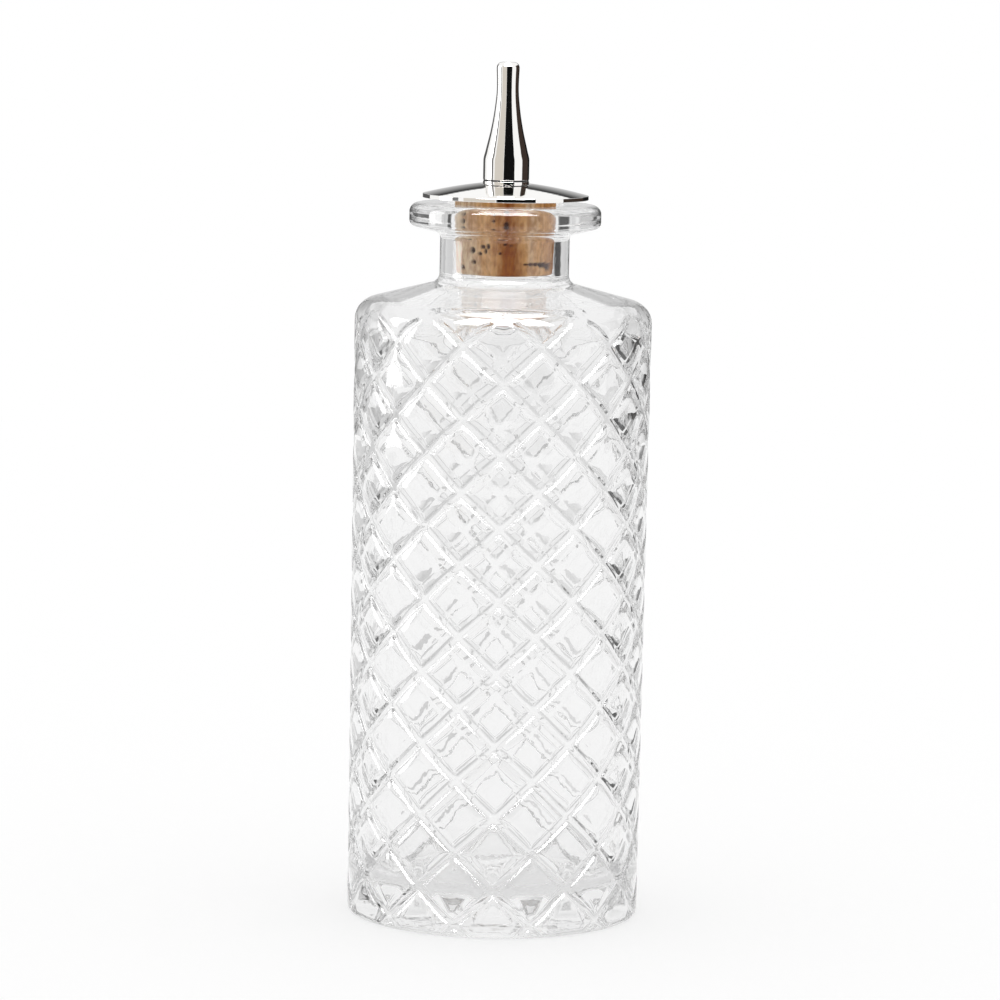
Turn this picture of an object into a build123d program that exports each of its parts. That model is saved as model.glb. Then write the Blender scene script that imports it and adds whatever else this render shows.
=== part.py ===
from build123d import *
import os

# A bitters bottle: a round glass bottle with a flanged neck, closed by a cork that
# carries a metal cap and a narrow dashing spout.
# Lengths are in millimetres. The origin is the centre of the standing face, and +Z
# runs up the axis of the bottle. Every piece is a body of revolution about that axis, and
# in each section X is the radius and Y is the height.

os.makedirs("parts", exist_ok=True)

# Glass body, from the standing face up to the neck
body_base_radius = 28.4
body_top_radius = 28.75
body_height = 119.05
shoulder_rise = 4.25
glass_wall = 3.4
base_thickness = 7.0
base_edge_round = 1.2
shoulder_edge_round = 4.5
inner_base_round = 6.0
inner_shoulder_round = 4.0
standing_ring_width = 3.8
punt_depth = 1.5

# Neck and pouring flange of the glass
neck_radius = 12.5
neck_height = 9.3
neck_root_round = 2.0
bore_radius = 9.8
bore_root_round = 1.5
flange_radius = 18.5
flange_height = 5.7
flange_underside_rise = 1.4
flange_root_round = 1.4
flange_edge_round = 1.3
flange_top_round = 1.7
mouth_round = 2.0

# Cork
cork_clearance = 0.05
cork_depth = 13.3
cork_taper = 0.5
cork_edge_round = 0.5

# Cap disc, a shallow cone with a rounded rim, which stands clear of the glass
cap_gap = 1.05
cap_radius = 16.0
cap_rim_height = 0.75
cap_rise = 2.85
cap_crown_radius = 5.2
cap_crown_sag = 0.18
cap_rim_round = 0.25
cap_rim_lower_round = 0.2
cork_seat_depth = 0.5
cork_seat_clearance = 0.15

# Hollow stem with its head under the cork, and the washer that the head pulls up
stem_radius = 3.0
stem_bore_radius = 1.7
stem_clearance = 0.05
stem_head_radius = 3.95
stem_head_height = 0.7
stem_head_round = 0.25
washer_radius = 6.5
washer_thickness = 0.8
washer_edge_round = 0.25

# Lock ring on the stem, let into the top of the cap
ring_pocket_depth = 1.0
ring_stand = 0.48
ring_pocket_clearance = 0.05
ring_edge_break = 0.08

# Seal washer between the lock ring and the spout
seal_thickness = 0.3
seal_inset = 0.12
seal_bore_clearance = 0.2

# Spout, a tapered nozzle screwed on the top of the stem
spout_length = 22.52
spout_base_radius = 4.44
spout_skirt_height = 3.6
spout_waist_radius = 2.1
spout_waist_height = 17.7
spout_lip_radius = 2.2
spout_lip_height = 21.0
spout_tip_round = 1.1
thread_clearance = 0.05
thread_engagement = 3.75
thread_bore_depth = 4.1
thread_bore_cone = 1.0
spout_throat_radius = 1.9
spout_bore_radius = 1.2
spout_bore_taper_end = 14.0
outlet_radius = 0.8
outlet_length = 1.5

# Taper of the spout between skirt and waist: shares of its height, and of the
# difference between the two radii that is still left there
taper_height_shares = (0.142, 0.418, 0.688)
taper_radius_shares = (0.82, 0.433, 0.159)

# Heights along the axis
neck_z = body_height + shoulder_rise
flange_z = neck_z + neck_height
mouth_z = flange_z + flange_height
cork_bottom_z = mouth_z - cork_depth
cork_grip_z = mouth_z - mouth_round
cap_z = mouth_z + cap_gap
cork_top_z = cap_z + cork_seat_depth
cap_top_z = cap_z + cap_rise
ring_bottom_z = cap_top_z - ring_pocket_depth
ring_top_z = cap_top_z + ring_stand
spout_z = ring_top_z + seal_thickness
spout_top_z = spout_z + spout_length
stem_top_z = spout_z + thread_engagement
washer_z = cork_bottom_z - washer_thickness
stem_bottom_z = washer_z - stem_head_height

# The inside of the shoulder runs parallel to its outside, one wall lower
shoulder_slope = shoulder_rise / (body_top_radius - neck_radius)
shoulder_wall_drop = glass_wall * (1 + shoulder_slope**2) ** 0.5
inner_body_z = body_height + glass_wall * shoulder_slope - shoulder_wall_drop
inner_neck_z = body_height + (body_top_radius - bore_radius) * shoulder_slope - shoulder_wall_drop

cork_radius = bore_radius - cork_clearance
cork_end_radius = cork_radius - cork_taper
stem_hole_radius = stem_radius + stem_clearance
cork_seat_radius = cork_radius + cork_seat_clearance
ring_pocket_radius = spout_base_radius + ring_pocket_clearance
ring_inner_radius = body_base_radius - base_edge_round - standing_ring_width


# Bottle: corners of its section with their roundings, up the outside and down the inside
glass_corners = [
    ((ring_inner_radius, 0), 0),
    ((body_base_radius, 0), base_edge_round),
    ((body_top_radius, body_height), shoulder_edge_round),
    ((neck_radius, neck_z), neck_root_round),
    ((neck_radius, flange_z), flange_root_round),
    ((flange_radius, flange_z + flange_underside_rise), flange_edge_round),
    ((flange_radius, mouth_z), flange_top_round),
    ((bore_radius, mouth_z), mouth_round),
    ((bore_radius, inner_neck_z), bore_root_round),
    ((body_top_radius - glass_wall, inner_body_z), inner_shoulder_round),
    ((body_base_radius - glass_wall, base_thickness), inner_base_round),
    ((0, base_thickness), 0),
]
glass_points = [corner for corner, rounding in glass_corners]
glass_roundings = [rounding for corner, rounding in glass_corners[1:-1]]

with BuildPart() as bottle:
    with BuildSketch(Plane.XZ):
        with BuildLine():
            FilletPolyline(*glass_points, radius=glass_roundings)
            Line((0, base_thickness), (0, punt_depth))
            TangentArc((0, punt_depth), (ring_inner_radius, 0), tangent=(1, 0))
        make_face()
    revolve(axis=Axis.Z)
bottle.part.label = "bottle"
export_step(bottle.part, "parts/bottle.step")


# Cork: it grips at the top of the bore, and tapers from there down
with BuildPart() as cork_stopper:
    with BuildSketch(Plane.XZ):
        with BuildLine():
            FilletPolyline(
                (stem_hole_radius, cork_bottom_z),
                (cork_end_radius, cork_bottom_z),
                (cork_radius, cork_grip_z),
                (cork_radius, cork_top_z),
                (stem_hole_radius, cork_top_z),
                radius=[cork_edge_round, 0, 0],
            )
            Line((stem_hole_radius, cork_top_z), (stem_hole_radius, cork_bottom_z))
        make_face()
    revolve(axis=Axis.Z)
cork_stopper.part.label = "cork_stopper"
export_step(cork_stopper.part, "parts/cork_stopper.step")


# Cap disc: seats the cork in its underside and the lock ring in its crown
with BuildPart() as cap_disc:
    with BuildSketch(Plane.XZ) as cap_section:
        with BuildLine():
            Polyline(
                (cap_crown_radius, cap_top_z),
                (ring_pocket_radius, cap_top_z),
                (ring_pocket_radius, ring_bottom_z),
                (stem_hole_radius, ring_bottom_z),
                (stem_hole_radius, cork_top_z),
                (cork_seat_radius, cork_top_z),
                (cork_seat_radius, cap_z),
                (cap_radius, cap_z),
                (cap_radius, cap_z + cap_rim_height),
            )
            SagittaArc(
                (cap_radius, cap_z + cap_rim_height),
                (cap_crown_radius, cap_top_z),
                sagitta=-cap_crown_sag,
            )
        make_face()
        rim_corners = cap_section.vertices().group_by(Axis.X)[-1].sort_by(Axis.Y)
        fillet(rim_corners[0], radius=cap_rim_lower_round)
        rim_corners = cap_section.vertices().group_by(Axis.X)[-1].sort_by(Axis.Y)
        fillet(rim_corners[-1], radius=cap_rim_round)
    revolve(axis=Axis.Z)
cap_disc.part.label = "cap_disc"
export_step(cap_disc.part, "parts/cap_disc.step")


# Hollow stem: a tube with a head at its foot
with BuildPart() as hollow_stem:
    with BuildSketch(Plane.XZ):
        with BuildLine():
            FilletPolyline(
                (stem_bore_radius, stem_bottom_z),
                (stem_head_radius, stem_bottom_z),
                (stem_head_radius, washer_z),
                (stem_radius, washer_z),
                (stem_radius, stem_top_z),
                (stem_bore_radius, stem_top_z),
                radius=[stem_head_round, 0, 0, stem_head_round],
            )
            Line((stem_bore_radius, stem_top_z), (stem_bore_radius, stem_bottom_z))
        make_face()
    revolve(axis=Axis.Z)
hollow_stem.part.label = "hollow_stem"
export_step(hollow_stem.part, "parts/hollow_stem.step")


# Stem washer: spreads the pull of the head over the end of the cork
with BuildPart() as stem_washer:
    with BuildSketch(Plane.XY.offset(washer_z)):
        Circle(washer_radius)
        Circle(stem_hole_radius, mode=Mode.SUBTRACT)
    extrude(amount=washer_thickness)
    outer_face = stem_washer.faces().filter_by(GeomType.CYLINDER).sort_by(SortBy.RADIUS)[-1]
    fillet(outer_face.edges().filter_by(GeomType.CIRCLE), radius=washer_edge_round)
stem_washer.part.label = "stem_washer"
export_step(stem_washer.part, "parts/stem_washer.step")


# Lock ring: threaded on the stem, it holds cap, cork and washer together
with BuildPart() as lock_ring:
    with BuildSketch(Plane.XY.offset(ring_bottom_z)):
        Circle(spout_base_radius)
        Circle(stem_hole_radius, mode=Mode.SUBTRACT)
    extrude(amount=ring_top_z - ring_bottom_z)
    top_edges = lock_ring.edges().group_by(Axis.Z)[-1].sort_by(SortBy.RADIUS)
    chamfer(top_edges[-1], length=ring_edge_break)
lock_ring.part.label = "lock_ring"
export_step(lock_ring.part, "parts/lock_ring.step")


# Seal washer: set back a little from the ring and the spout, so it shows as a fine line
with BuildPart() as seal_washer:
    with BuildSketch(Plane.XY.offset(ring_top_z)):
        Circle(spout_base_radius - seal_inset)
        Circle(stem_radius + seal_bore_clearance, mode=Mode.SUBTRACT)
    extrude(amount=seal_thickness)
seal_washer.part.label = "seal_washer"
export_step(seal_washer.part, "parts/seal_washer.step")


# Spout: straight skirt, long taper to a waist, and a lip that swells slightly at the tip
skirt_point = (spout_base_radius, spout_z + spout_skirt_height)
waist_point = (spout_waist_radius, spout_z + spout_waist_height)
lip_point = (spout_lip_radius, spout_z + spout_lip_height)
taper_height = spout_waist_height - spout_skirt_height
taper_radius = spout_base_radius - spout_waist_radius
taper_points = [
    (spout_waist_radius + taper_radius * radius_share, skirt_point[1] + taper_height * height_share)
    for height_share, radius_share in zip(taper_height_shares, taper_radius_shares)
]
thread_radius = stem_radius + thread_clearance
throat_z = spout_z + thread_bore_depth + thread_bore_cone

with BuildPart() as spout:
    with BuildSketch(Plane.XZ) as spout_section:
        with BuildLine():
            Line((spout_base_radius, spout_z), skirt_point)
            Spline(skirt_point, *taper_points, waist_point, tangents=((0, 1), (0, 1)))
            TangentArc(waist_point, lip_point, tangent=(0, 1))
            Polyline(
                lip_point,
                (spout_lip_radius, spout_top_z),
                (outlet_radius, spout_top_z),
                (outlet_radius, spout_top_z - outlet_length),
                (spout_bore_radius, spout_top_z - outlet_length),
                (spout_bore_radius, spout_z + spout_bore_taper_end),
                (spout_throat_radius, throat_z),
                (thread_radius, spout_z + thread_bore_depth),
                (thread_radius, spout_z),
                (spout_base_radius, spout_z),
            )
        make_face()
        tip_corner = spout_section.vertices().group_by(Axis.Y)[-1].sort_by(Axis.X)[-1]
        fillet(tip_corner, radius=spout_tip_round)
        foot_corner = spout_section.vertices().group_by(Axis.Y)[0].sort_by(Axis.X)[-1]
        chamfer(foot_corner, length=ring_edge_break)
    revolve(axis=Axis.Z)
spout.part.label = "spout"
export_step(spout.part, "parts/spout.step")
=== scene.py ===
import math

import bpy
import numpy as np
from mathutils import Matrix, Vector


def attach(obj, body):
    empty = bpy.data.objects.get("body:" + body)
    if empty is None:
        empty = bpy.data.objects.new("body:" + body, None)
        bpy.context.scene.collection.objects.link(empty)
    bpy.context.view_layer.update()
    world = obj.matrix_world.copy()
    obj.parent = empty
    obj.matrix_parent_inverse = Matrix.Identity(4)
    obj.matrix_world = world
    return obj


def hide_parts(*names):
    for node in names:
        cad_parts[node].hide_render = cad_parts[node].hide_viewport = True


# A bitters bottle of clear pressed glass with a net of raised diamonds, closed by a cork
# that carries a polished cap and a dashing spout.
# Lengths are in metres. The axis of the bottle is Z, and in every section the first
# number is the radius and the second is the height.

MM = 0.001
white = (1, 1, 1, 1)

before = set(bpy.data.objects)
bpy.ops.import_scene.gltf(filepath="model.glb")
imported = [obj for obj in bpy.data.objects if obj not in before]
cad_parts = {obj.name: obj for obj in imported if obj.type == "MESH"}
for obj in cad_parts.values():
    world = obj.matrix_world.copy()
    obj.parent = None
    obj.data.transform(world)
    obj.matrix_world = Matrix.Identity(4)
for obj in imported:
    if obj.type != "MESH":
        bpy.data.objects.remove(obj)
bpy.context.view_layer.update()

# Glass: body, neck and pouring flange
body_base_radius = 28.4 * MM
body_top_radius = 28.75 * MM
body_height = 119.05 * MM
shoulder_rise = 4.25 * MM
glass_wall = 3.4 * MM
base_thickness = 7.0 * MM
base_edge_round = 1.2 * MM
shoulder_edge_round = 4.5 * MM
inner_base_round = 6.0 * MM
inner_shoulder_round = 4.0 * MM
standing_ring_width = 3.8 * MM
punt_depth = 1.5 * MM
neck_radius = 12.5 * MM
neck_height = 9.3 * MM
neck_root_round = 2.0 * MM
bore_radius = 9.8 * MM
bore_root_round = 1.5 * MM
flange_radius = 18.5 * MM
flange_height = 5.7 * MM
flange_underside_rise = 1.4 * MM
flange_root_round = 1.4 * MM
flange_edge_round = 1.3 * MM
flange_top_round = 1.7 * MM
mouth_round = 2.0 * MM

# Net of diamonds on the body
diamonds_around = 12
diamond_height = 13.8 * MM
first_crossing = 9.4 * MM
groove_floor_width = 0.9 * MM
groove_width = 2.1 * MM
groove_depth = 0.45 * MM
pad_crown = 0.12 * MM
pad_edge_blend = 0.12 * MM
inner_ripple = 0.11 * MM
inner_ripple_length = 6.0 * MM
outer_ripple = 0.035 * MM
outer_ripple_length = 3.2 * MM
ripple_fade = 4.0 * MM
net_wander = 0.45 * MM
net_wander_length = 8.0 * MM
depth_drift = 0.6
net_low = -6.0 * MM
net_high = 128.0 * MM
net_fade = 5.0 * MM

# Fineness of the glass mesh
steps_per_diamond = 16
floor_steps = 2
wall_steps = 3
punt_steps = 10
outline_step = 0.32 * MM
measuring_step = 0.05 * MM
longest_run = 2.5 * MM
run_hold = 0.12 * MM
# Points of the glass that lie closer than this become one, at its seam and its poles
glass_seam = 0.002 * MM

# Heights of the glass
neck_z = body_height + shoulder_rise
flange_z = neck_z + neck_height
mouth_z = flange_z + flange_height
shoulder_slope = shoulder_rise / (body_top_radius - neck_radius)
shoulder_wall_drop = glass_wall * math.hypot(1, shoulder_slope)
inner_body_z = body_height + glass_wall * shoulder_slope - shoulder_wall_drop
inner_neck_z = body_height + (body_top_radius - bore_radius) * shoulder_slope - shoulder_wall_drop
ring_inner_radius = body_base_radius - base_edge_round - standing_ring_width

# Cork
cork_clearance = 0.05 * MM
cork_depth = 13.3 * MM
cork_taper = 0.5 * MM
cork_edge_round = 0.5 * MM
cork_pit_depth = 0.45 * MM
cork_uneven_depth = 0.02 * MM

# Cap disc
cap_gap = 1.05 * MM
cap_radius = 16.0 * MM
cap_rim_height = 0.75 * MM
cap_rise = 2.85 * MM
cap_crown_radius = 5.2 * MM
cap_crown_sag = 0.18 * MM
cap_rim_round = 0.06 * MM
cap_rim_lower_round = 0.05 * MM
cork_seat_depth = 0.5 * MM
cork_seat_clearance = 0.15 * MM

# Hollow stem and its washer
stem_radius = 3.0 * MM
stem_bore_radius = 1.7 * MM
stem_clearance = 0.05 * MM
stem_head_radius = 3.95 * MM
stem_head_height = 0.7 * MM
stem_head_round = 0.25 * MM
washer_radius = 6.5 * MM
washer_thickness = 0.8 * MM
washer_edge_round = 0.25 * MM
thread_pitch = 0.75 * MM
thread_depth = 0.4 * MM
thread_rows_per_turn = 10
# The flank of the thread, in shares of the pitch from the middle of its crest
thread_flank_start = 0.08
thread_flank_end = 0.42

# Lock ring and seal washer
ring_pocket_depth = 1.0 * MM
ring_stand = 0.48 * MM
ring_pocket_clearance = 0.01 * MM
ring_edge_break = 0.03 * MM
seal_thickness = 0.3 * MM
seal_inset = 0.1 * MM
seal_bore_clearance = 0.2 * MM
seal_edge_round = 0.06 * MM

# Spout
spout_length = 22.52 * MM
spout_base_radius = 4.44 * MM
spout_skirt_height = 3.6 * MM
spout_waist_radius = 2.1 * MM
spout_waist_height = 17.7 * MM
spout_lip_radius = 2.2 * MM
spout_lip_height = 21.0 * MM
spout_tip_round = 1.1 * MM
outlet_round = 0.2 * MM
thread_clearance = 0.05 * MM
thread_engagement = 3.75 * MM
thread_bore_depth = 4.1 * MM
thread_bore_cone = 1.0 * MM
spout_throat_radius = 1.9 * MM
spout_bore_radius = 1.2 * MM
spout_bore_taper_end = 14.0 * MM
outlet_radius = 0.8 * MM
outlet_length = 1.5 * MM
# The taper from skirt to waist, in shares of its height and of its narrowing
taper_height_shares = (0, 0.142, 0.418, 0.688, 1)
taper_radius_shares = (1, 0.82, 0.433, 0.159, 0)

# Heights of the stopper and the spout
cork_bottom_z = mouth_z - cork_depth
cap_z = mouth_z + cap_gap
cork_top_z = cap_z + cork_seat_depth
cap_top_z = cap_z + cap_rise
ring_bottom_z = cap_top_z - ring_pocket_depth
ring_top_z = cap_top_z + ring_stand
spout_z = ring_top_z + seal_thickness
spout_top_z = spout_z + spout_length
stem_top_z = spout_z + thread_engagement
washer_z = cork_bottom_z - washer_thickness
stem_bottom_z = washer_z - stem_head_height
cork_radius = bore_radius - cork_clearance
stem_hole_radius = stem_radius + stem_clearance


def rounded_outline(corners, arc_step):
    """The points of an outline through corners of (radius, height, rounding)."""
    points = []
    last = len(corners) - 1
    for number, (radius, height, rounding) in enumerate(corners):
        corner = Vector((radius, height))
        if number in (0, last) or rounding == 0:
            points.append(corner)
            continue
        back = (Vector(corners[number - 1][:2]) - corner).normalized()
        ahead = (Vector(corners[number + 1][:2]) - corner).normalized()
        half_angle = back.angle(ahead) / 2
        centre = corner + (back + ahead).normalized() * rounding / math.sin(half_angle)
        arm = corner + back * rounding / math.tan(half_angle) - centre
        turn = math.copysign(math.pi - 2 * half_angle, back.cross(ahead) * -1)
        steps = max(3, math.ceil(abs(turn) * rounding / arc_step))
        for step in range(steps + 1):
            points.append(centre + Matrix.Rotation(turn * step / steps, 2) @ arm)
    return points


def split_long_runs(points, longest):
    """The same outline with more points on the runs that are longer than this."""
    split = [points[0]]
    for start, end in zip(points, points[1:]):
        pieces = max(1, math.ceil((end - start).length / longest))
        split += [start.lerp(end, piece / pieces) for piece in range(1, pieces + 1)]
    return split


def held_runs(points, hold):
    """The outline with a point near each end of every long run, so that its smooth shading
    stays flat between them."""
    held = [points[0]]
    for start, end in zip(points, points[1:]):
        run = (end - start).length
        if run > 4 * hold:
            held += [start.lerp(end, hold / run), end.lerp(start, hold / run)]
        held.append(end)
    return held


def finer_rows(points, radius, low, high, row):
    """The outline with its upright run at this radius split into short rows."""
    near = 0.01 * MM
    split = [points[0]]
    for start, end in zip(points, points[1:]):
        on_run = abs(start.x - radius) < near and abs(end.x - radius) < near
        middle = (start.y + end.y) / 2
        pieces = 1
        if on_run and low < middle < high:
            pieces = max(1, math.ceil((end - start).length / row))
        split += [start.lerp(end, piece / pieces) for piece in range(1, pieces + 1)]
    return split


def lengths_along(points):
    """How far along an outline each of its points lies."""
    lengths = [0.0]
    for start, end in zip(points, points[1:]):
        lengths.append(lengths[-1] + (end - start).length)
    return lengths


def new_object(name, data):
    """An object with this mesh or camera, in the scene."""
    thing = bpy.data.objects.new(name, data)
    bpy.context.scene.collection.objects.link(thing)
    return thing


def fill(node, values):
    """Joins or sets inputs of a node, each found by its number or its name."""
    for place, value in values.items():
        if isinstance(value, bpy.types.NodeSocket):
            node.id_data.links.new(value, node.inputs[place])
        elif value is not None:
            node.inputs[place].default_value = value


def node_maker(tree):
    """A function that adds a node, sets its properties and fills its inputs, first in their
    order and then by name."""
    def add(kind, *inputs, named=None, **settings):
        node = tree.nodes.new(kind)
        for name, value in settings.items():
            setattr(node, name, value)
        fill(node, dict(enumerate(inputs)))
        fill(node, named or {})
        return node
    return add


def number_maker(add):
    """A function that adds one sum to a node tree and gives its result."""
    def work(operation, *inputs):
        return add("ShaderNodeMath", *inputs, operation=operation).outputs[0]
    return work


def emptied(owner):
    """A function that adds nodes to the emptied tree of a world or a material."""
    owner.use_nodes = True
    owner.node_tree.nodes.clear()
    return node_maker(owner.node_tree)


def spread(add, value, low, high, at_low, at_high, **settings):
    """A number that runs from at_low to at_high while the value runs from low to high."""
    return add("ShaderNodeMapRange", value, low, high, at_low, at_high, **settings).outputs[0]


def blended(add, share, first, second, **settings):
    """The first colour where the share is 0, and the second where it is 1."""
    sockets = {"Factor": share, "A": first, "B": second}
    return add("ShaderNodeMix", named=sockets, data_type="RGBA", **settings).outputs["Result"]


def noise(add, place, scale, detail, roughness=0.5):
    """The outputs of a noise texture over these places."""
    sockets = {"Scale": scale, "Detail": detail, "Roughness": roughness}
    return add("ShaderNodeTexNoise", place, named=sockets).outputs


def bumped(add, height, strength, distance):
    """The normal that a height gives to a surface."""
    sockets = {"Strength": strength, "Distance": distance, "Height": height}
    return add("ShaderNodeBump", named=sockets).outputs["Normal"]


# Camera: the bottle leans a little in the picture, so the camera is rolled
camera_place = Vector((0.053, -897.73, 191.0)) * MM
camera_pitch = math.radians(90 - 6.998)
camera_roll = math.radians(1.131)
camera_lens = 167.77


def make_camera():
    data = bpy.data.cameras.new("camera")
    data.lens = camera_lens
    data.sensor_width = 36
    data.clip_start = 0.01
    data.clip_end = 50
    camera = new_object("camera", data)
    turn = Matrix.Rotation(camera_pitch, 4, "X") @ Matrix.Rotation(camera_roll, 4, "Z")
    camera.matrix_world = Matrix.Translation(camera_place) @ turn
    bpy.context.scene.camera = camera


# Studio, as polished metal shows it: each zone runs from its azimuth to the next one's.
# Azimuths are degrees from the front, and grow towards the right of the picture.
metal_zones = [
    (-180, (0.10, 0.10, 0.10)),
    (-132, (1.0, 1.0, 1.0)),
    (-80, (0.20, 0.20, 0.20)),
    (-69, (1.0, 1.0, 1.0)),
    (-61, (0.68, 0.64, 0.58)),
    (-15, (1.0, 1.0, 1.0)),
    (-13, (0.006, 0.006, 0.006)),
    (41, (1.0, 1.0, 1.0)),
    (86, (0.045, 0.032, 0.026)),
    (136, (0.01, 0.01, 0.01)),
]
side_top = 29.0
side_fade = 1.5
back_from = 134
back_top = 19.5
back_fade = 0.4
# The backdrop straight behind the bottle darkens upwards, to the white above its top
backdrop_from = 171
backdrop_levels = [
    (-90, 0.85),
    (-3, 0.85),
    (4.5, 0.56),
    (9, 0.42),
    (12.3, 0.32),
    (14.8, 0.22),
    (17, 0.11),
    (19, 0.04),
    (20.3, 0.04),
    (20.7, 1.0),
]

# Softboxes, which gloss shows brighter than white. Each box or card here has its azimuth,
# half its width, its elevation, half its height, its soft edge and its level.
softboxes = [
    (0, 46, 51, 19, 1, 20),
    (0, 180, 84, 12, 4, 10),
    (-93, 11, 5, 25, 2, 7),
]

# Studio, as clear glass shows it: a pale room with soft-edged cards
glass_room = 0.88
glass_cards = [
    (0, 75, 0, 70, 25, 0.5),
    (129, 17, 1, 12, 3, 0.05),
    (158, 13, 4, 16, 6, 0.70),
    (-147, 23, 2, 16, 5, 0.60),
    (-119, 5, 2, 16, 2, 0.08),
]


def zone_ramp(add, share, zones, low, high, interpolation):
    """A colour ramp through (place, colour) zones, where share runs from low to high."""
    ramp = add("ShaderNodeValToRGB", share)
    ramp.color_ramp.interpolation = interpolation
    stops = ramp.color_ramp.elements
    for number, (place, colour) in enumerate(zones):
        position = (place - low) / (high - low)
        stop = stops[number] if number < 2 else stops.new(position)
        stop.position = position
        stop.color = (*colour, 1) if isinstance(colour, tuple) else (colour, colour, colour, 1)
    return ramp.outputs["Color"]


def make_world():
    """White to the camera, and a studio with dark and pale zones to metal and to glass."""
    world = bpy.data.worlds.new("studio")
    add = emptied(world)
    work = number_maker(add)
    direction = add("ShaderNodeTexCoord").outputs["Generated"]
    split = add("ShaderNodeSeparateXYZ", direction).outputs
    azimuth = work("ARCTAN2", split[0], work("MULTIPLY", split[1], -1.0))
    azimuth_share = work("MULTIPLY_ADD", azimuth, 1 / math.tau, 0.5)
    elevation = work("ARCSINE", split[2])
    elevation_share = work("MULTIPLY_ADD", elevation, 1 / math.pi, 0.5)

    def above(top, fade):
        rise = work("SUBTRACT", elevation, math.radians(top))
        return add("ShaderNodeClamp", work("DIVIDE", rise, math.radians(fade))).outputs[0]

    def within(angle, centre, half, edge):
        off = work("WRAP", work("SUBTRACT", angle, math.radians(centre)), math.pi, -math.pi)
        near, far = math.radians(half - edge), math.radians(half + edge)
        return spread(add, work("ABSOLUTE", off), near, far, 1.0, 0.0, interpolation_type="SMOOTHSTEP")

    def card_share(place, half_width, climb, half_height, edge):
        share = within(azimuth, place, half_width, edge)
        return work("MULTIPLY", share, within(elevation, climb, half_height, edge))

    walls = zone_ramp(add, azimuth_share, metal_zones, -180, 180, "CONSTANT")
    sides = blended(add, above(side_top, side_fade), walls, white)
    back = blended(add, above(back_top, back_fade), walls, white)
    backdrop = zone_ramp(add, elevation_share, backdrop_levels, -90, 90, "LINEAR")
    from_front = work("ABSOLUTE", azimuth)
    in_back = work("GREATER_THAN", from_front, math.radians(back_from))
    on_backdrop = work("GREATER_THAN", from_front, math.radians(backdrop_from))
    metal_view = blended(add, on_backdrop, blended(add, in_back, sides, back), backdrop)

    glare = 1.0
    for *card, level in softboxes:
        glare = work("MAXIMUM", glare, work("MULTIPLY", card_share(*card), level))
    glass_level = glass_room
    for *card, level in glass_cards:
        change = work("SUBTRACT", level, glass_level)
        glass_level = work("MULTIPLY_ADD", card_share(*card), change, glass_level)

    to_metal = add("ShaderNodeBackground", metal_view, glare).outputs[0]
    to_glass = add("ShaderNodeBackground", white, glass_level).outputs[0]
    plain = add("ShaderNodeBackground", white, 1.0).outputs[0]
    path = add("ShaderNodeLightPath").outputs
    from_matt = work("GREATER_THAN", path["Diffuse Depth"], 0.5)
    seen = add("ShaderNodeMixShader", path["Is Glossy Ray"], plain, to_metal).outputs[0]
    seen = add("ShaderNodeMixShader", path["Is Transmission Ray"], seen, to_glass).outputs[0]
    seen = add("ShaderNodeMixShader", from_matt, seen, plain).outputs[0]
    seen = add("ShaderNodeMixShader", path["Is Camera Ray"], seen, plain).outputs[0]
    add("ShaderNodeOutputWorld", seen)
    bpy.context.scene.world = world


# Floor: how much of its brightness shadows can take, and its level as glass shows it
floor_radius = 0.9
floor_sides = 96
floor_drop = 0.02 * MM
floor_shadow_share = 0.35
floor_through_glass = 0.9


def make_floor():
    """A round pale floor that keeps a faint shadow, white to the camera and to metal."""
    rim = []
    for side in range(floor_sides):
        angle = math.tau * side / floor_sides
        rim.append((floor_radius * math.cos(angle), floor_radius * math.sin(angle), -floor_drop))
    mesh = bpy.data.meshes.new("floor")
    mesh.from_pydata(rim, [], [range(floor_sides)])
    material = bpy.data.materials.new("pale_floor")
    add = emptied(material)
    work = number_maker(add)
    lit = add("ShaderNodeBsdfDiffuse", white).outputs[0]
    path = add("ShaderNodeLightPath").outputs
    level = work("MULTIPLY_ADD", path["Is Transmission Ray"], floor_through_glass - 1, 1.0)
    glow = add("ShaderNodeEmission", white, level).outputs[0]
    seen = work("ADD", path["Is Camera Ray"], path["Is Glossy Ray"])
    seen = work("MINIMUM", work("ADD", seen, path["Is Transmission Ray"]), 1.0)
    share = work("MULTIPLY", seen, 1 - floor_shadow_share)
    add("ShaderNodeOutputMaterial", add("ShaderNodeMixShader", share, lit, glow).outputs[0])
    mesh.materials.append(material)
    new_object("floor", mesh)


def principled(name, **values):
    """A material with one principled shader, and a function that adds nodes to it."""
    material = bpy.data.materials.new(name)
    material.use_nodes = True
    shader = material.node_tree.nodes["Principled BSDF"]
    fill(shader, {socket.replace("_", " "): value for socket, value in values.items()})
    return material, shader, node_maker(material.node_tree)


def clear_glass():
    """Clear glass with the faint swell that pressing leaves in its surface."""
    material, shader, add = principled(
        "clear_glass",
        Base_Color=(0.99, 0.99, 0.99, 1),
        Roughness=0.0,
        IOR=1.5,
        Transmission_Weight=1.0,
    )
    place = add("ShaderNodeTexCoord").outputs["Object"]
    swell = noise(add, place, scale=420, detail=2)["Fac"]
    fill(shader, {"Normal": bumped(add, swell, strength=0.2, distance=0.1 * MM)})
    return material


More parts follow.
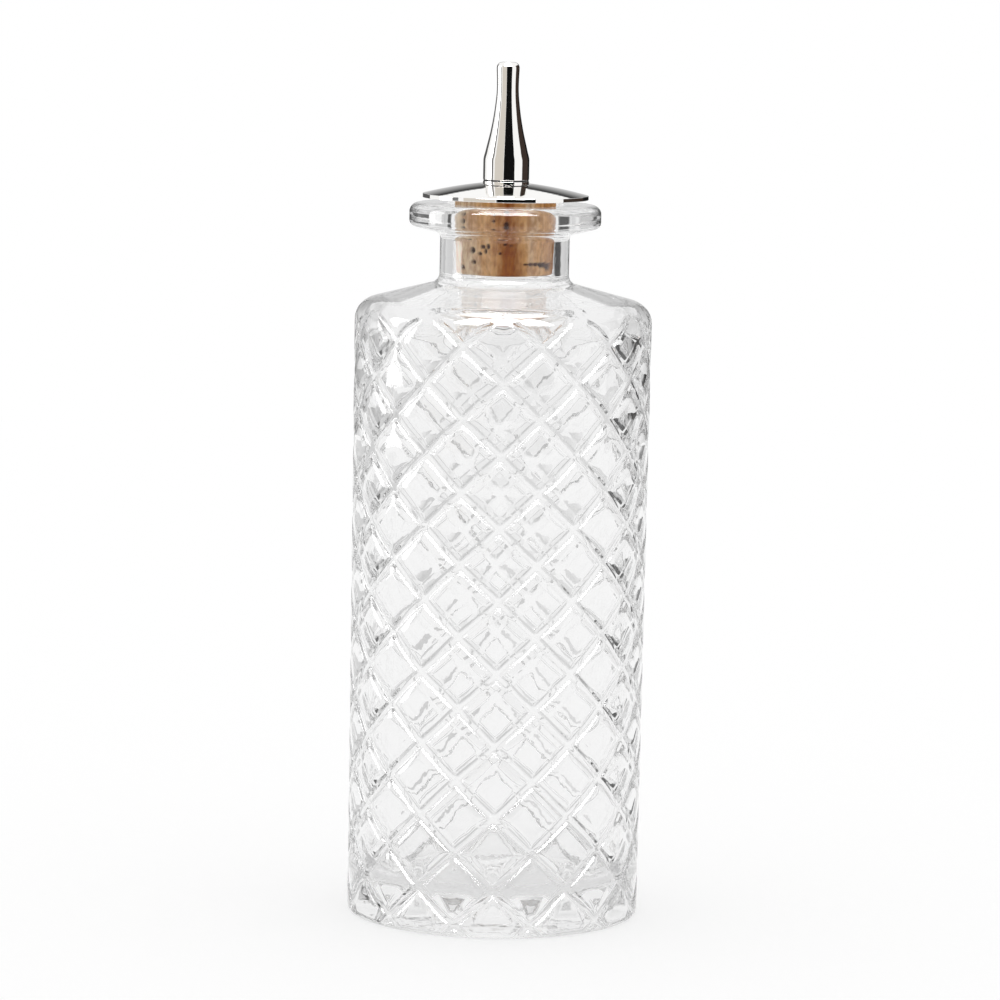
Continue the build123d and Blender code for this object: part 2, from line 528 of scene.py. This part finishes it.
def glass_section():
    """The section of the glass, from the middle of the punt up the outside and down the inside,
    with how far along it from the foot of the body each point lies, and the share of the
    ripple that it takes, which is below zero inside."""
    corners = [
        (ring_inner_radius, 0, 0),
        (body_base_radius, 0, base_edge_round),
        (body_top_radius, body_height, shoulder_edge_round),
        (neck_radius, neck_z, neck_root_round),
        (neck_radius, flange_z, flange_root_round),
        (flange_radius, flange_z + flange_underside_rise, flange_edge_round),
        (flange_radius, mouth_z, flange_top_round),
        (bore_radius, mouth_z, mouth_round),
        (bore_radius, inner_neck_z, bore_root_round),
        (body_top_radius - glass_wall, inner_body_z, inner_shoulder_round),
        (body_base_radius - glass_wall, base_thickness, inner_base_round),
        (0, base_thickness, 0),
    ]
    punt_radius = (ring_inner_radius**2 + punt_depth**2) / (2 * punt_depth)
    punt_reach = math.asin(ring_inner_radius / punt_radius)
    punt_centre = punt_depth - punt_radius
    punt = []
    for step in range(punt_steps):
        angle = punt_reach * step / punt_steps
        punt.append(Vector((punt_radius * math.sin(angle), punt_centre + punt_radius * math.cos(angle))))
    fine = punt + rounded_outline(corners, measuring_step)
    lengths = lengths_along(fine)
    middle = next(n for n, point in enumerate(fine) if point.y > body_height / 2)
    foot = lengths[middle] - fine[middle].y

    row = diamond_height / (2 * steps_per_diamond)
    first = math.ceil((net_low - first_crossing) / row)
    last = math.floor((net_high - first_crossing) / row)
    stations = [foot + (first_crossing + row * number) for number in range(first, last + 1)]
    coarse = held_runs(punt + rounded_outline(corners, outline_step), run_hold)
    others = lengths_along(split_long_runs(coarse, longest_run))
    share = lengths[-1] / others[-1]
    others = [length * share for length in others]
    others = [length for length in others if not stations[0] - row < length < stations[-1] + row]
    stations = sorted(stations + others)
    radii = np.interp(stations, lengths, [point.x for point in fine])
    heights = np.interp(stations, lengths, [point.y for point in fine])
    points = [Vector((radius, height)) for radius, height in zip(radii, heights)]
    climb = [length - foot for length in stations]
    top = max(range(len(points)), key=lambda n: points[n].y)
    rippled = []
    for number, point in enumerate(points):
        low, high = (net_low, body_height) if number < top else (base_thickness, inner_neck_z)
        near = min(point.y - low, high - point.y) / ripple_fade
        near = min(max(near, 0.0), 1.0)
        rippled.append(near if number < top else -near)
    return points, climb, rippled


def section_object(name, points, columns):
    """A line of points with one value per point for each named column."""
    mesh = bpy.data.meshes.new(name)
    mesh.from_pydata([(p.x, 0, p.y) for p in points], [(n, n + 1) for n in range(len(points) - 1)], [])
    for column, values in columns.items():
        attribute = mesh.attributes.new(column, "FLOAT", "POINT")
        attribute.data.foreach_set("value", values)
    return new_object(name, mesh)


net_inputs = {
    "Diamonds around": diamonds_around,
    "Steps per diamond": steps_per_diamond,
    "Diamond height": diamond_height,
    "First crossing": first_crossing,
    "Net low": net_low,
    "Net high": net_high,
    "Net fade": net_fade,
    "Floor width": groove_floor_width,
    "Groove width": groove_width,
    "Groove depth": groove_depth,
    "Pad crown": pad_crown,
    "Edge blend": pad_edge_blend,
    "Base crest": body_base_radius,
    "Top crest": body_top_radius,
    "Body height": body_height,
    "Inner ripple": inner_ripple,
    "Inner ripple length": inner_ripple_length,
    "Outer ripple": outer_ripple,
    "Outer ripple length": outer_ripple_length,
    "Wander": net_wander,
    "Wander length": net_wander_length,
    "Depth drift": depth_drift,
    "Seam": glass_seam,
}


def section_tree(name, inputs):
    """A node tree that takes a section, these numbers and a finish, and gives a shape."""
    tree = bpy.data.node_groups.new(name, "GeometryNodeTree")
    new_socket = tree.interface.new_socket
    new_socket(name="Section", in_out="INPUT", socket_type="NodeSocketGeometry")
    for label, value in inputs.items():
        kind = "NodeSocketInt" if isinstance(value, int) else "NodeSocketFloat"
        new_socket(name=label, in_out="INPUT", socket_type=kind).default_value = value
    new_socket(name="Finish", in_out="INPUT", socket_type="NodeSocketMaterial")
    new_socket(name="Geometry", in_out="OUTPUT", socket_type="NodeSocketGeometry")
    return tree


def section_grid(add, section, columns):
    """A grid with a row for each point of the section and this many columns round the axis,
    the column of each of its points, and a function that reads the section at their row."""
    work = number_maker(add)
    rows = add("GeometryNodeAttributeDomainSize", section).outputs["Point Count"]
    grid = add("GeometryNodeMeshGrid", 1.0, 1.0, work("ADD", columns, 1.0), rows).outputs["Mesh"]
    index = add("GeometryNodeInputIndex").outputs[0]
    column = work("FLOOR", work("DIVIDE", work("ADD", index, 0.5), rows))
    row = work("SUBTRACT", index, work("MULTIPLY", column, rows))

    def sampled(value, kind="FLOAT"):
        sockets = {"Geometry": section, "Value": value, "Index": row}
        return add("GeometryNodeSampleIndex", named=sockets, data_type=kind, domain="POINT").outputs[0]

    return grid, column, sampled


def finish_shape(add, given, grid, spot, in_triangles=False):
    """Moves the points of the grid to their spots, closes its seam and its poles, and ends the
    tree with the finish."""
    shape = add("GeometryNodeSetPosition", grid, named={"Position": spot}).outputs[0]
    shape = add("GeometryNodeMergeByDistance", shape, named={"Distance": given["Seam"]}).outputs[0]
    if in_triangles:
        shape = add("GeometryNodeTriangulate", shape, quad_method="SHORTEST_DIAGONAL").outputs[0]
    shape = add("GeometryNodeSetShadeSmooth", shape).outputs[0]
    shape = add("GeometryNodeRealizeInstances", shape).outputs[0]
    shape = add("GeometryNodeSetMaterial", shape, named={"Material": given["Finish"]}).outputs[0]
    add("NodeGroupOutput", shape)


def diamond_net_tree():
    """Turns a section round the axis and cuts the net of grooves between pillowed diamonds.
    The columns of points lie along one family of grooves and the shorter diagonals along the
    other, and both are drawn together at the groove walls, so the edges stay crisp."""
    tree = section_tree("diamond_net", net_inputs)
    add = node_maker(tree)
    work = number_maker(add)
    given = add("NodeGroupInput").outputs
    section = given["Section"]
    ring = work("MULTIPLY", given["Diamonds around"], given["Steps per diamond"])
    grid, column, sampled = section_grid(add, section, ring)
    climb_value = add("GeometryNodeInputNamedAttribute", "climb", data_type="FLOAT").outputs[0]
    rippled_value = add("GeometryNodeInputNamedAttribute", "rippled", data_type="FLOAT").outputs[0]
    climb = sampled(climb_value)
    rippled = sampled(rippled_value)

    # Coordinates of the two families of grooves, where each whole number is a groove
    held = work("MINIMUM", work("MAXIMUM", climb, given["Net low"]), given["Net high"])
    level = work("DIVIDE", work("SUBTRACT", held, given["First crossing"]), given["Diamond height"])
    second_plain = work("DIVIDE", column, given["Steps per diamond"])
    first_plain = work("MULTIPLY_ADD", level, 2.0, second_plain)

    around_gap = work("DIVIDE", work("MULTIPLY", given["Base crest"], math.tau), given["Diamonds around"])
    slant_square = work("ADD", work("POWER", around_gap, 2.0), work("POWER", given["Diamond height"], 2.0))
    slant = work("SQRT", slant_square)
    line_gap = work("DIVIDE", work("MULTIPLY", around_gap, given["Diamond height"]), slant)
    floor_edge = work("DIVIDE", work("MULTIPLY", given["Floor width"], 0.5), line_gap)
    wall_edge = work("DIVIDE", work("MULTIPLY", given["Groove width"], 0.5), line_gap)
    floor_share = work("DIVIDE", float(floor_steps), given["Steps per diamond"])
    wall_share = work("DIVIDE", float(wall_steps), given["Steps per diamond"])
    wall_end = work("ADD", floor_share, wall_share)
    pad_share = work("SUBTRACT", 0.5, wall_end)

    # More rows are kept near the grooves, and fade to even spacing past the ends of the net
    below = work("DIVIDE", work("SUBTRACT", climb, given["Net low"]), given["Net fade"])
    above = work("DIVIDE", work("SUBTRACT", given["Net high"], climb), given["Net fade"])
    crowding = add("ShaderNodeClamp", work("MINIMUM", below, above)).outputs[0]

    def crowded(net):
        whole = work("ROUND", net)
        off = work("SUBTRACT", net, whole)
        size = work("ABSOLUTE", off)
        on_floor = work("DIVIDE", work("MINIMUM", size, floor_share), floor_share)
        on_wall = work("SUBTRACT", work("MINIMUM", size, wall_end), floor_share)
        on_wall = work("DIVIDE", work("MAXIMUM", on_wall, 0.0), wall_share)
        on_pad = work("DIVIDE", work("MAXIMUM", work("SUBTRACT", size, wall_end), 0.0), pad_share)
        moved = work("MULTIPLY", on_floor, floor_edge)
        moved = work("ADD", moved, work("MULTIPLY", on_wall, work("SUBTRACT", wall_edge, floor_edge)))
        moved = work("ADD", moved, work("MULTIPLY", on_pad, work("SUBTRACT", 0.5, wall_edge)))
        shift = work("SUBTRACT", work("MULTIPLY", moved, work("SIGN", off)), off)
        return work("MULTIPLY", shift, crowding)

    first_shift = crowded(first_plain)
    second_shift = crowded(second_plain)
    first_net = work("ADD", first_plain, first_shift)
    second_net = work("ADD", second_plain, second_shift)
    sum_net = work("ADD", first_net, second_net)
    angle = work("DIVIDE", work("MULTIPLY", sum_net, math.pi), given["Diamonds around"])
    lift = work("MULTIPLY", work("SUBTRACT", first_shift, second_shift), given["Diamond height"])
    lift = work("MULTIPLY", lift, 0.5)

    # The net wanders a little along the surface, and its depth drifts
    def placed(size):
        across = work("MULTIPLY", size, work("SINE", angle))
        towards = work("MULTIPLY", size, work("MULTIPLY", work("COSINE", angle), -1.0))
        return across, towards

    ideal = add("ShaderNodeCombineXYZ", *placed(given["Top crest"]), work("ADD", climb, lift)).outputs[0]
    wander = noise(add, ideal, work("DIVIDE", 1.0, given["Wander length"]), detail=1)["Color"]
    drift = add("ShaderNodeSeparateXYZ", wander).outputs

    def drifted(number, size):
        away = work("MULTIPLY", work("SUBTRACT", drift[number], 0.5), 2.0)
        return work("MULTIPLY", work("MULTIPLY", away, size), crowding)

    sideways = work("DIVIDE", drifted(0, given["Wander"]), given["Top crest"])
    lift = work("ADD", lift, drifted(1, given["Wander"]))
    angle = work("ADD", angle, sideways)
    depth_share = work("ADD", drifted(2, given["Depth drift"]), 1.0)

    curve = add("GeometryNodeMeshToCurve", section).outputs[0]
    first_point = {"Geometry": section, "Value": climb_value}
    start = add("GeometryNodeSampleIndex", named=first_point, data_type="FLOAT", domain="POINT").outputs[0]
    length = work("SUBTRACT", work("ADD", climb, lift), start)
    sockets = {"Curves": curve, "Length": length}
    place = add("GeometryNodeSampleCurve", named=sockets, mode="LENGTH", use_all_curves=False)
    section_place = add("ShaderNodeSeparateXYZ", place.outputs["Position"]).outputs

    # Relief: flat-floored grooves with rounded walls between crowned pads
    def pad(net):
        off = work("ABSOLUTE", work("SUBTRACT", net, work("ROUND", net)))
        groove = spread(add, off, floor_edge, wall_edge, 1.0, 0.0, interpolation_type="SMOOTHSTEP")
        return work("SUBTRACT", 1.0, groove)

    def pillow(net):
        return work("ABSOLUTE", work("SINE", work("MULTIPLY", net, math.pi)))

    groove_share = work("SUBTRACT", 1.0, work("MULTIPLY", pad(first_net), pad(second_net)))
    cut = work("MULTIPLY", groove_share, work("MULTIPLY", given["Groove depth"], depth_share))
    hump = work("MULTIPLY", pillow(first_net), pillow(second_net))
    fall = work("MULTIPLY", work("SUBTRACT", 1.0, hump), given["Pad crown"])
    height_share = work("DIVIDE", section_place[2], given["Body height"])
    crest = work("MULTIPLY", work("SUBTRACT", given["Top crest"], given["Base crest"]), height_share)
    crest = work("ADD", crest, given["Base crest"])
    relief = work("SUBTRACT", crest, work("ADD", cut, fall))
    radius = work("SMOOTH_MIN", section_place[0], relief, given["Edge blend"])

    # The plunger leaves the inner wall a little wavy, and the mould the outside less so
    def waves(length, height):
        spot = add("ShaderNodeCombineXYZ", *placed(radius), section_place[2]).outputs[0]
        wave = noise(add, spot, work("DIVIDE", 1.0, length), detail=3, roughness=0.6)["Fac"]
        return work("MULTIPLY", work("SUBTRACT", wave, 0.5), work("MULTIPLY", height, 2.0))

    inner_waves = waves(given["Inner ripple length"], given["Inner ripple"])
    outer_waves = waves(given["Outer ripple length"], given["Outer ripple"])
    inner_waves = work("MULTIPLY", inner_waves, work("MAXIMUM", work("MULTIPLY", rippled, -1.0), 0.0))
    outer_waves = work("MULTIPLY", outer_waves, work("MAXIMUM", rippled, 0.0))
    radius = work("ADD", radius, work("SUBTRACT", inner_waves, work("ABSOLUTE", outer_waves)))
    spot = add("ShaderNodeCombineXYZ", *placed(radius), section_place[2]).outputs[0]
    finish_shape(add, given, grid, spot, in_triangles=True)
    return tree


def grown(thing, tree, name, settings):
    """The plain mesh that a tree of nodes makes of an object, as a new object."""
    modifier = thing.modifiers.new(name, "NODES")
    modifier.node_group = tree
    sockets = {item.name: item.identifier for item in tree.interface.items_tree if item.in_out == "INPUT"}
    for label, value in settings.items():
        modifier[sockets[label]] = value
    bpy.context.view_layer.update()
    evaluated = thing.evaluated_get(bpy.context.evaluated_depsgraph_get())
    mesh = bpy.data.meshes.new_from_object(evaluated)
    mesh.name = name
    thing.modifiers.remove(modifier)
    bpy.data.objects.remove(thing)
    return new_object(name, mesh)


def make_glass():
    points, climb, rippled = glass_section()
    section = section_object("glass_section", points, {"climb": climb, "rippled": rippled})
    glass = grown(section, diamond_net_tree(), "glass_bottle", {**net_inputs, "Finish": clear_glass()})
    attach(glass, "bottle")
    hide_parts("bottle")


def closed_section(corners, arc_step=0.04 * MM, hold=0.05 * MM, longest=0.8 * MM):
    """A closed outline with its corners rounded, where each long run is held by a point near
    each of its ends, so that its smooth shading stays flat between them."""
    start = Vector(corners[0][:2]).lerp(Vector(corners[-1][:2]), 0.5)
    ring = [(*start, 0), *corners, (*start, 0)]
    return split_long_runs(held_runs(rounded_outline(ring, arc_step), hold), longest)


turning_sides = 96
turning_seam = 0.001 * MM
turning_inputs = {
    "Sides": turning_sides,
    "Thread pitch": thread_pitch,
    "Thread depth": thread_depth,
    "Flank start": thread_flank_start,
    "Flank end": thread_flank_end,
    "Seam": turning_seam,
}


def turning_tree():
    """Turns a closed section round the axis, and cuts a right-hand thread into it where the
    section's points say so."""
    tree = section_tree("turned_piece", turning_inputs)
    add = node_maker(tree)
    work = number_maker(add)
    given = add("NodeGroupInput").outputs
    grid, column, sampled = section_grid(add, given["Section"], given["Sides"])
    place = sampled(add("GeometryNodeInputPosition").outputs[0], "FLOAT_VECTOR")
    place = add("ShaderNodeSeparateXYZ", place).outputs
    threaded = add("GeometryNodeInputNamedAttribute", "thread", data_type="FLOAT").outputs[0]
    turn_share = work("DIVIDE", column, given["Sides"])
    turns = work("SUBTRACT", work("DIVIDE", place[2], given["Thread pitch"]), turn_share)
    from_crest = work("PINGPONG", turns, 0.5)
    flank = (given["Flank start"], given["Flank end"])
    notch = spread(add, from_crest, *flank, 0.0, 1.0, interpolation_type="SMOOTHSTEP")
    cut = work("MULTIPLY", work("MULTIPLY", notch, given["Thread depth"]), sampled(threaded))
    radius = work("SUBTRACT", place[0], cut)
    angle = work("MULTIPLY", turn_share, math.tau)
    across = work("MULTIPLY", radius, work("COSINE", angle))
    along = work("MULTIPLY", radius, work("SINE", angle))
    spot = add("ShaderNodeCombineXYZ", across, along, place[2]).outputs[0]
    finish_shape(add, given, grid, spot)
    return tree


turning = turning_tree()


def turned(name, node, body, slot, points, material, sides=turning_sides, thread=None):
    """A piece turned from a closed section, threaded between two radii and two heights."""
    cut = [0.0] * len(points)
    if thread is not None:
        low_radius, high_radius, low, high = thread
        for number, point in enumerate(points):
            if low_radius < point.x < high_radius:
                near = min(point.y - low, high - point.y) / (thread_pitch / 2)
                cut[number] = min(max(near, 0.0), 1.0)
    section = section_object(name + "_section", points, {"thread": cut})
    piece = grown(section, turning, name, {**turning_inputs, "Sides": sides, "Finish": material})
    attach(piece, body)
    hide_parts(node)
    return piece


def polished_steel():
    """Mirror-polished steel with faint smears and hairlines."""
    material, shader, add = principled(
        "polished_steel",
        Base_Color=(0.94, 0.93, 0.91, 1),
        Metallic=1.0,
        Roughness=0.03,
    )
    work = number_maker(add)
    place = add("ShaderNodeTexCoord").outputs["Object"]
    smear = noise(add, place, scale=350, detail=3)["Fac"]
    stretched = add("ShaderNodeMapping", place, named={"Scale": (1, 1, 0.04)}).outputs[0]
    hairs = noise(add, stretched, scale=9000, detail=2)["Fac"]
    hair_share = work("MULTIPLY", hairs, 0.5)
    fill(shader, {
        "Base Color": blended(add, hair_share, (0.955, 0.945, 0.925, 1), (0.90, 0.885, 0.86, 1)),
        "Roughness": spread(add, smear, 0.45, 0.75, 0.02, 0.06),
        "Normal": bumped(add, hairs, strength=0.03, distance=0.02 * MM),
    })
    return material


def smooth_taper(heights, radii, steps=12):
    """Points on a smooth curve through the given radii, upright at its foot and at its top."""
    slopes = [0.0]
    for n in range(1, len(heights) - 1):
        slopes.append((radii[n + 1] - radii[n - 1]) / (heights[n + 1] - heights[n - 1]))
    slopes.append(0.0)
    points = [(radii[0], heights[0], 0)]
    for n in range(len(heights) - 1):
        rise = heights[n + 1] - heights[n]
        for step in range(1, steps + 1):
            t = step / steps
            radius = radii[n] * (1 + 2 * t) * (1 - t) ** 2 + radii[n + 1] * t**2 * (3 - 2 * t)
            radius += rise * (slopes[n] * t * (1 - t) ** 2 + slopes[n + 1] * t**2 * (t - 1))
            points.append((radius, heights[n] + rise * t, 0))
    return points


def spout_corners():
    """The section of the spout: skirt, taper, lip and tip outside, thread and bore inside."""
    taper_height = spout_waist_height - spout_skirt_height
    taper_radius = spout_base_radius - spout_waist_radius
    heights = [spout_z + spout_skirt_height + taper_height * share for share in taper_height_shares]
    radii = [spout_waist_radius + taper_radius * share for share in taper_radius_shares]
    outside = smooth_taper(heights, radii)
    waist_z = spout_z + spout_waist_height
    lip_z = spout_z + spout_lip_height
    swell_steps = 8
    for step in range(1, swell_steps + 1):
        share = step / swell_steps
        radius = spout_waist_radius + (spout_lip_radius - spout_waist_radius) * share**2
        outside.append((radius, waist_z + (lip_z - waist_z) * share, 0))
    thread_radius = stem_radius + thread_clearance
    return [
        (thread_radius, spout_z, 0),
        (spout_base_radius, spout_z, ring_edge_break),
        *outside,
        (spout_lip_radius, spout_top_z, spout_tip_round),
        (outlet_radius, spout_top_z, outlet_round),
        (outlet_radius, spout_top_z - outlet_length, 0),
        (spout_bore_radius, spout_top_z - outlet_length, 0),
        (spout_bore_radius, spout_z + spout_bore_taper_end, 0),
        (spout_throat_radius, spout_z + thread_bore_depth + thread_bore_cone, 0),
        (thread_radius, spout_z + thread_bore_depth, 0),
    ]


def cap_corners():
    """The section of the cap disc: a gently domed cone over a thin rim."""
    cork_seat_radius = cork_radius + cork_seat_clearance
    pocket_radius = spout_base_radius + ring_pocket_clearance
    cone = []
    cone_steps = 12
    rim_top = cap_z + cap_rim_height
    for step in range(1, cone_steps + 1):
        share = step / cone_steps
        radius = cap_radius + (cap_crown_radius - cap_radius) * share
        height = rim_top + (cap_top_z - rim_top) * share + 4 * cap_crown_sag * share * (1 - share)
        cone.append((radius, height, 0))
    return [
        (cork_seat_radius, cap_z, 0),
        (cap_radius, cap_z, cap_rim_lower_round),
        (cap_radius, rim_top, cap_rim_round),
        *cone,
        (pocket_radius, cap_top_z, 0),
        (pocket_radius, ring_bottom_z, 0),
        (stem_hole_radius, ring_bottom_z, 0),
        (stem_hole_radius, cork_top_z, 0),
        (cork_seat_radius, cork_top_z, 0),
    ]


def make_metal():
    """The cap, the spout and the stem that holds them, all of one polished steel."""
    material = polished_steel()
    thread_row = thread_pitch / thread_rows_per_turn
    thread_top_z = spout_z + thread_bore_depth
    skirt_radius = spout_base_radius - ring_edge_break

    def steel(name, node, points, body="stopper", **more):
        turned(name, node, body, "polished_steel", points, material, **more)

    spout = closed_section(spout_corners())
    spout = finer_rows(spout, stem_radius + thread_clearance, spout_z, thread_top_z, thread_row)
    steel("dashing_spout", "spout", spout, body="spout",
          thread=(stem_radius, skirt_radius, spout_z, thread_top_z))

    steel("cap", "cap_disc", closed_section(cap_corners()), sides=192)

    ring = closed_section([
        (stem_hole_radius, ring_bottom_z, 0),
        (spout_base_radius, ring_bottom_z, ring_edge_break),
        (spout_base_radius, ring_top_z, ring_edge_break),
        (stem_hole_radius, ring_top_z, 0),
    ])
    ring = finer_rows(ring, stem_hole_radius, ring_bottom_z, ring_top_z, thread_row)
    steel("threaded_ring", "lock_ring", ring, thread=(stem_radius, skirt_radius, ring_bottom_z, ring_top_z))

    stem = closed_section([
        (stem_bore_radius, stem_bottom_z, 0),
        (stem_head_radius, stem_bottom_z, stem_head_round),
        (stem_head_radius, washer_z, 0),
        (stem_radius, washer_z, 0),
        (stem_radius, stem_top_z, stem_head_round),
        (stem_bore_radius, stem_top_z, 0),
    ])
    stem_thread_z = ring_bottom_z - thread_pitch
    stem_middle_radius = (stem_bore_radius + stem_radius) / 2
    stem = finer_rows(stem, stem_radius, stem_thread_z, stem_top_z, thread_row)
    steel("threaded_stem", "hollow_stem", stem,
          thread=(stem_middle_radius, stem_head_radius, stem_thread_z, stem_top_z))

    washer = closed_section([
        (stem_hole_radius, washer_z, 0),
        (washer_radius, washer_z, washer_edge_round),
        (washer_radius, cork_bottom_z, washer_edge_round),
        (stem_hole_radius, cork_bottom_z, 0),
    ])
    steel("cork_washer", "stem_washer", washer)


def black_rubber():
    """Matt black rubber with a fine moulded grain."""
    material, shader, add = principled("black_rubber", Roughness=0.6, Specular_IOR_Level=0.15)
    place = add("ShaderNodeTexCoord").outputs["Object"]
    grain = noise(add, place, scale=6000, detail=3)["Fac"]
    fill(shader, {
        "Base Color": blended(add, grain, (0.008, 0.008, 0.008, 1), (0.03, 0.03, 0.03, 1)),
        "Roughness": spread(add, grain, 0.3, 0.7, 0.5, 0.75),
        "Normal": bumped(add, grain, strength=0.3, distance=0.03 * MM),
    })
    return material


def make_seal():
    seal = closed_section([
        (stem_radius + seal_bore_clearance, ring_top_z, seal_edge_round),
        (spout_base_radius - seal_inset, ring_top_z, seal_edge_round),
        (spout_base_radius - seal_inset, spout_z, seal_edge_round),
        (stem_radius + seal_bore_clearance, spout_z, seal_edge_round),
    ], arc_step=0.02 * MM)
    turned("rubber_seal", "seal_washer", "seal", "black_rubber", seal, black_rubber())


# Colours of the cork, from its darkest growth band to its lightest
cork_tones = [
    (0.22, (0.48, 0.15, 0.022)),
    (0.45, (0.93, 0.53, 0.22)),
    (0.72, (1.0, 0.77, 0.52)),
]


def natural_cork():
    """Natural cork: warm tan with darker growth bands, grain specks and nearly black pits, with
    painted light on its left side from the tone that the mesh carries.
    """
    material, shader, add = principled("natural_cork", Roughness=0.8, Specular_IOR_Level=0.15)
    work = number_maker(add)
    place = add("ShaderNodeTexCoord").outputs["Object"]
    # Growth bands stand upright in the cork, so they are drawn out along Z
    upright = add("ShaderNodeMapping", place, named={"Scale": (1, 1, 0.14)}).outputs[0]
    bands = noise(add, upright, scale=300, detail=5, roughness=0.6)["Fac"]
    # The tone from the mesh lightens and darkens the cork in bands, with painted light on its left side
    tone_and_painted_light = add("ShaderNodeAttribute", attribute_name="tone_and_painted_light").outputs["Fac"]
    colour = zone_ramp(add, work("MULTIPLY_ADD", bands, 0.9, tone_and_painted_light), cork_tones, 0, 1, "LINEAR")
    streaked = add("ShaderNodeMapping", place, named={"Scale": (1, 1, 0.4)}).outputs[0]
    specks = noise(add, streaked, scale=1300, detail=5)["Fac"]
    speck_share = spread(add, specks, 0.36, 0.60, 0.6, 0.0)
    colour = blended(add, speck_share, colour, (0.50, 0.27, 0.14, 1), blend_type="MULTIPLY")
    pit = add("ShaderNodeAttribute", attribute_name="pit").outputs["Fac"]
    height = work("MULTIPLY_ADD", bands, 0.5, specks)
    fill(shader, {
        "Base Color": blended(add, pit, colour, (0.075, 0.022, 0.008, 1)),
        "Roughness": spread(add, specks, 0.3, 0.7, 0.7, 0.92),
        "Normal": bumped(add, height, strength=0.7, distance=0.12 * MM),
    })
    return material


# Pits of the cork: degrees from the front towards the right, millimetres above the
# foot of the cork, width and height in millimetres
cork_pits = [
    (-37, 4.9, 1.1, 1.2),
    (-24, 5.5, 0.9, 0.7),
    (-18, 5.5, 0.6, 1.0),
    (-21, 4.7, 0.7, 0.9),
    (-28, 4.2, 0.8, 0.5),
    (-36, 2.6, 0.8, 0.8),
    (-53, 1.5, 1.0, 1.1),
    (1, 6.1, 0.9, 0.5),
    (8, 5.9, 2.2, 0.25),
    (-5, 4.3, 0.6, 0.5),
    (-44, 10.4, 1.4, 0.9),
    (1, 10.1, 1.2, 1.1),
    (-11, 10.6, 0.5, 0.4),
    (35, 2.3, 4.0, 0.5),
    (47, 2.0, 2.4, 1.1),
    (56, 1.6, 1.8, 1.7),
    (-3, 7.6, 2.0, 0.3),
    (-40, 7.4, 0.8, 0.3),
    (96, 6.0, 1.5, 1.1),
    (128, 3.2, 0.9, 1.6),
    (150, 8.4, 2.6, 0.5),
    (-170, 4.6, 1.1, 0.9),
    (-148, 7.9, 0.8, 1.4),
    (-121, 2.9, 2.4, 0.6),
    (-95, 6.6, 1.0, 0.9),
]

# Lighter and darker bands round the cork: degrees from the front, half their width in
# degrees, and how much they lighten it. The broad lighter band on the left is painted light,
# where the cork faces the lit side.
cork_bands_and_painted_light = [
    (-60, 28, 0.34),
    (7, 12, -0.20),
    (31, 9, 0.14),
    (75, 20, -0.06),
    (118, 16, 0.10),
    (166, 22, -0.12),
    (-128, 18, -0.10),
]

# A pit ends a little outside its oval, along an edge that wobbles: each wobble has its size,
# in shares of the oval, and its radians per millimetre
pit_end = 1.15
pit_edge = 0.5
wobble_up = (0.22, 3.1)
wobble_across = (0.15, 5.3)
# Shallow waves over the side, by their radians per degree round it and per millimetre up
side_waves = [(0.42, 1.7), (0.19, -0.9)]


def degrees_off(turn, angle):
    """How far each turn is from an angle, up to half a turn either way."""
    return (turn - angle + 180) % 360 - 180


def make_cork():
    """The cork, turned from its tapered section, with pits and a lightly uneven surface."""
    end_radius = cork_radius - cork_taper
    section = closed_section([
        (stem_hole_radius, cork_bottom_z, 0),
        (end_radius, cork_bottom_z, cork_edge_round),
        (cork_radius, mouth_z - mouth_round, 0),
        (cork_radius, cork_top_z, 0),
        (stem_hole_radius, cork_top_z, 0),
    ], arc_step=0.12 * MM, longest=0.22 * MM)
    cork = turned("tapered_cork", "cork_stopper", "stopper", "natural_cork", section, natural_cork(),
                  sides=320)
    mesh = cork.data
    places = np.empty(len(mesh.vertices) * 3)
    mesh.vertices.foreach_get("co", places)
    places = places.reshape(-1, 3)
    radius = np.hypot(places[:, 0], places[:, 1])
    turn = np.degrees(np.arctan2(places[:, 0], -places[:, 1]))
    height = (places[:, 2] - cork_bottom_z) / MM
    on_side = radius > end_radius - cork_edge_round / 2
    pit = np.zeros(len(places))
    for angle, level, width, tall in cork_pits:
        across = np.radians(degrees_off(turn, angle)) * radius / MM
        wobble = wobble_up[0] * np.sin(wobble_up[1] * (height + level) + angle)
        wobble += wobble_across[0] * np.sin(wobble_across[1] * across + level)
        off = np.hypot(across / (width / 2), (height - level) / (tall / 2)) + wobble
        pit = np.maximum(pit, np.clip((pit_end - off) / pit_edge, 0, 1))
    pit *= on_side
    # Bands of tone round the cork, with painted light on its left side
    tone_and_painted_light = np.zeros(len(places))
    for angle, half, lighter in cork_bands_and_painted_light:
        tone_and_painted_light += lighter * np.exp(-(degrees_off(turn, angle) / half) ** 2)
    uneven = 1.0
    for per_degree, per_millimetre in side_waves:
        uneven = uneven * np.sin(turn * per_degree + per_millimetre * height)
    sunk = pit * cork_pit_depth + on_side * (1 + uneven) * cork_uneven_depth
    places[:, :2] *= (1 - sunk / radius)[:, None]
    mesh.vertices.foreach_set("co", places.ravel())
    for column, values in (("pit", pit), ("tone_and_painted_light", tone_and_painted_light)):
        marks = mesh.attributes.new(column, "FLOAT", "POINT")
        marks.data.foreach_set("value", values)
    mesh.update()


make_camera()
make_world()
make_floor()
make_glass()
make_cork()
make_metal()
make_seal()

scene = bpy.context.scene
scene.view_settings.view_transform = "Standard"
scene.cycles.max_bounces = 32
scene.cycles.transmission_bounces = 32
scene.cycles.glossy_bounces = 16
scene.cycles.diffuse_bounces = 4
